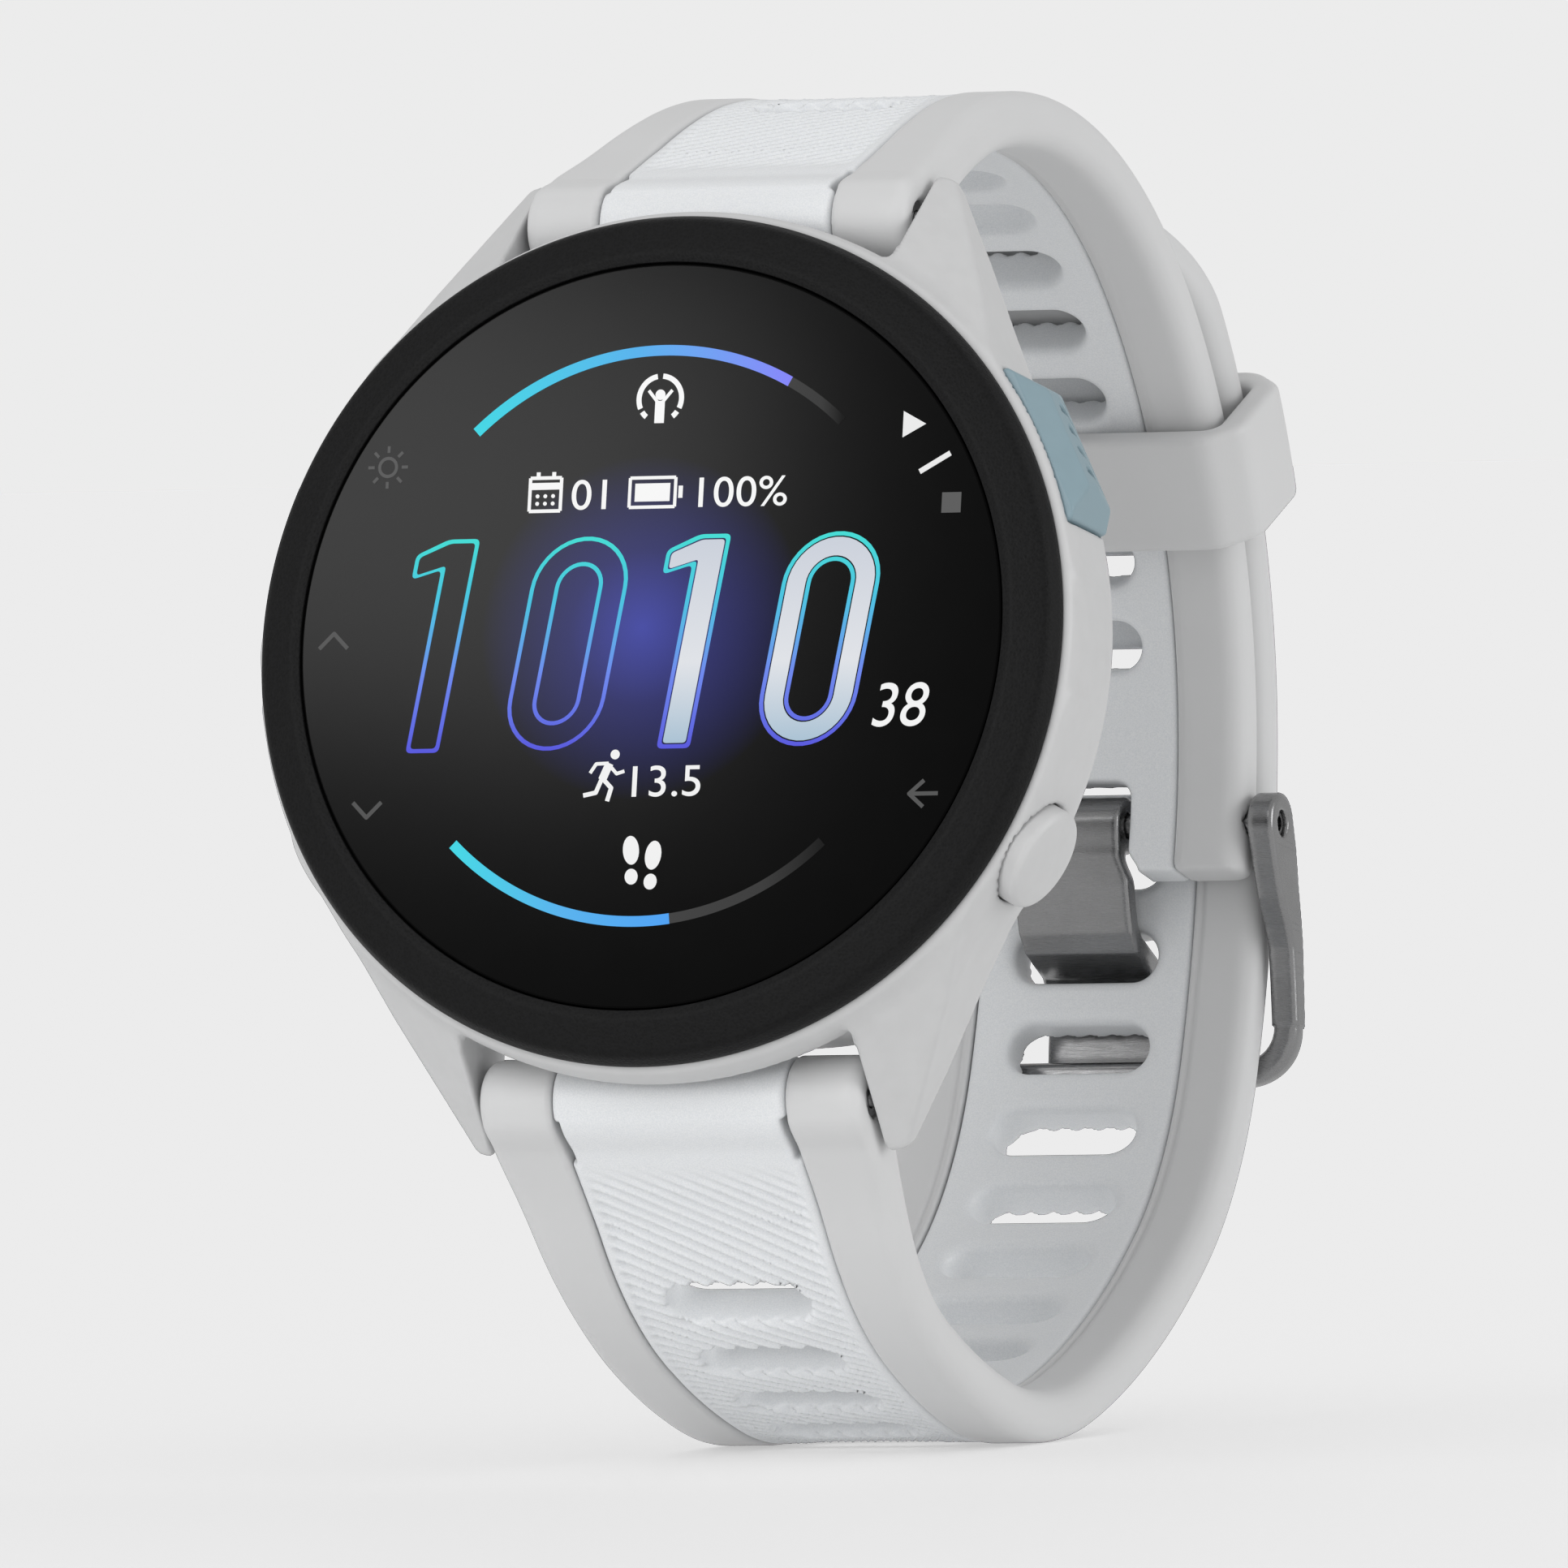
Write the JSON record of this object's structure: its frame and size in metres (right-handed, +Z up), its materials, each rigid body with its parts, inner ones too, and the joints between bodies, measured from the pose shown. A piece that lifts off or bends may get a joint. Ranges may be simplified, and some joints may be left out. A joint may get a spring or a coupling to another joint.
{
  "type": "gps running watch",
  "caption": "Round running watch with touch glass, five side buttons, optical sensor on the back and a closed buckled strap with a slotted light core between grey rails.",
  "frame": {"origin": "middle of the wrist opening, 33 mm behind the crest of the bezel", "axes": "+X to 3 o'clock and along the wrist, -Y out of the face, +Z up as the watch stands, leaning back 12 degrees"},
  "size_m": [0.0434, 0.0644, 0.0667],
  "materials": {
    "light_polymer": "fine matte fibre-reinforced polymer",
    "black_polymer": "black polymer with a fine leather-like grain",
    "cover_glass": "gloss",
    "display": "lit screen under gloss glass",
    "black_seal": "matte",
    "inner_polymer": "matte",
    "circuit_board": "solder-mask gloss",
    "chips": "satin",
    "cell_foil": "satin foil",
    "copper": "bright",
    "steel": "brushed",
    "sensor_glass": "gloss",
    "start_blue": "satin blue-grey",
    "strap_white": "pearl-white silicone with slanted ridges",
    "strap_grey": "matte light grey silicone",
    "buckle_metal": "dark brushed steel"
  },
  "bodies": {
    "watch": {"case_shell": "light_polymer", "bezel": "black_polymer", "lens": "cover_glass", "lens_gasket": "black_seal", "display_panel": "display", "inner_frame": "inner_polymer", "main_board": "circuit_board", "board_chips": "chips", "battery": "cell_foil", "gps_antenna": "copper", "vibration_motor": "steel", "piezo_buzzer": "copper", "rear_cover": "light_polymer", "rear_gasket": "black_seal", "sensor_window": "sensor_glass", "sensor_board": "circuit_board", "sensor_leds": "chips", "charging_socket": "inner_polymer", "charging_contacts": "copper", "cover_screws": "steel", "side_switches": "steel", "button_seals": "black_seal", "upper_spring_bar": "steel", "upper_bar_spring": "steel", "lower_spring_bar": "steel", "lower_bar_spring": "steel", "upper_strap_core": "strap_white", "upper_strap_rails": "strap_grey", "lower_strap_core": "strap_white", "lower_strap_rails": "strap_grey", "buckle_pin": "steel"},
    "start_stop_button": {"start_stop_button": "start_blue", "start_stop_clip": "steel"},
    "back_button": {"back_button": "light_polymer", "back_clip": "steel"},
    "light_button": {"light_button": "light_polymer", "light_clip": "steel"},
    "up_button": {"up_button": "light_polymer", "up_clip": "steel"},
    "down_button": {"down_button": "light_polymer", "down_clip": "steel"},
    "upper_release": {"upper_release_lever": "steel"},
    "lower_release": {"lower_release_lever": "steel"},
    "keeper": {"keeper_loop": "strap_grey"},
    "frame": {"buckle_frame": "buckle_metal"},
    "tongue": {"buckle_tongue": "buckle_metal"}
  },
  "joints": [
    {"name": "start_stop_press", "type": "slide", "parent": "watch", "child": "start_stop_button", "axis": [-0.8918, -0.0941, -0.4425], "range_m": [0, 0.0006], "stiffness_N_per_m": 600},
    {"name": "back_press", "type": "slide", "parent": "watch", "child": "back_button", "axis": [-0.8771, 0.0998, 0.4697], "range_m": [0, 0.0006], "stiffness_N_per_m": 600},
    {"name": "light_press", "type": "slide", "parent": "watch", "child": "light_button", "axis": [0.8771, -0.0998, -0.4697], "range_m": [0, 0.0006], "stiffness_N_per_m": 600},
    {"name": "up_press", "type": "slide", "parent": "watch", "child": "up_button", "axis": [1, 0, 0], "range_m": [0, 0.0006], "stiffness_N_per_m": 600},
    {"name": "down_press", "type": "slide", "parent": "watch", "child": "down_button", "axis": [0.8771, 0.0998, 0.4697], "range_m": [0, 0.0006], "stiffness_N_per_m": 600},
    {"name": "upper_release", "type": "slide", "parent": "watch", "child": "upper_release", "axis": [-1, 0, 0], "range_m": [0, 0.0016], "stiffness_N_per_m": 300},
    {"name": "lower_release", "type": "slide", "parent": "watch", "child": "lower_release", "axis": [-1, 0, 0], "range_m": [0, 0.0016], "stiffness_N_per_m": 300},
    {"name": "keeper_slide", "type": "hinge", "parent": "watch", "child": "keeper", "pos_m": [0, -0.0069, 0.00197], "axis": [1, 0, 0], "range_deg": [-18, 18]},
    {"name": "frame_hinge", "type": "hinge", "parent": "watch", "child": "frame", "pos_m": [0, 0.0231, -0.00441], "axis": [1, 0, 0], "range_deg": [0, 3.5]},
    {"name": "tongue_hinge", "type": "hinge", "parent": "watch", "child": "tongue", "pos_m": [0, 0.0231, -0.00441], "axis": [1, 0, 0], "range_deg": [0, 3.5]}
  ],
  "couplings": [
    {"joint": "tongue_hinge", "follows": "frame_hinge", "ratio": 1}
  ]
}
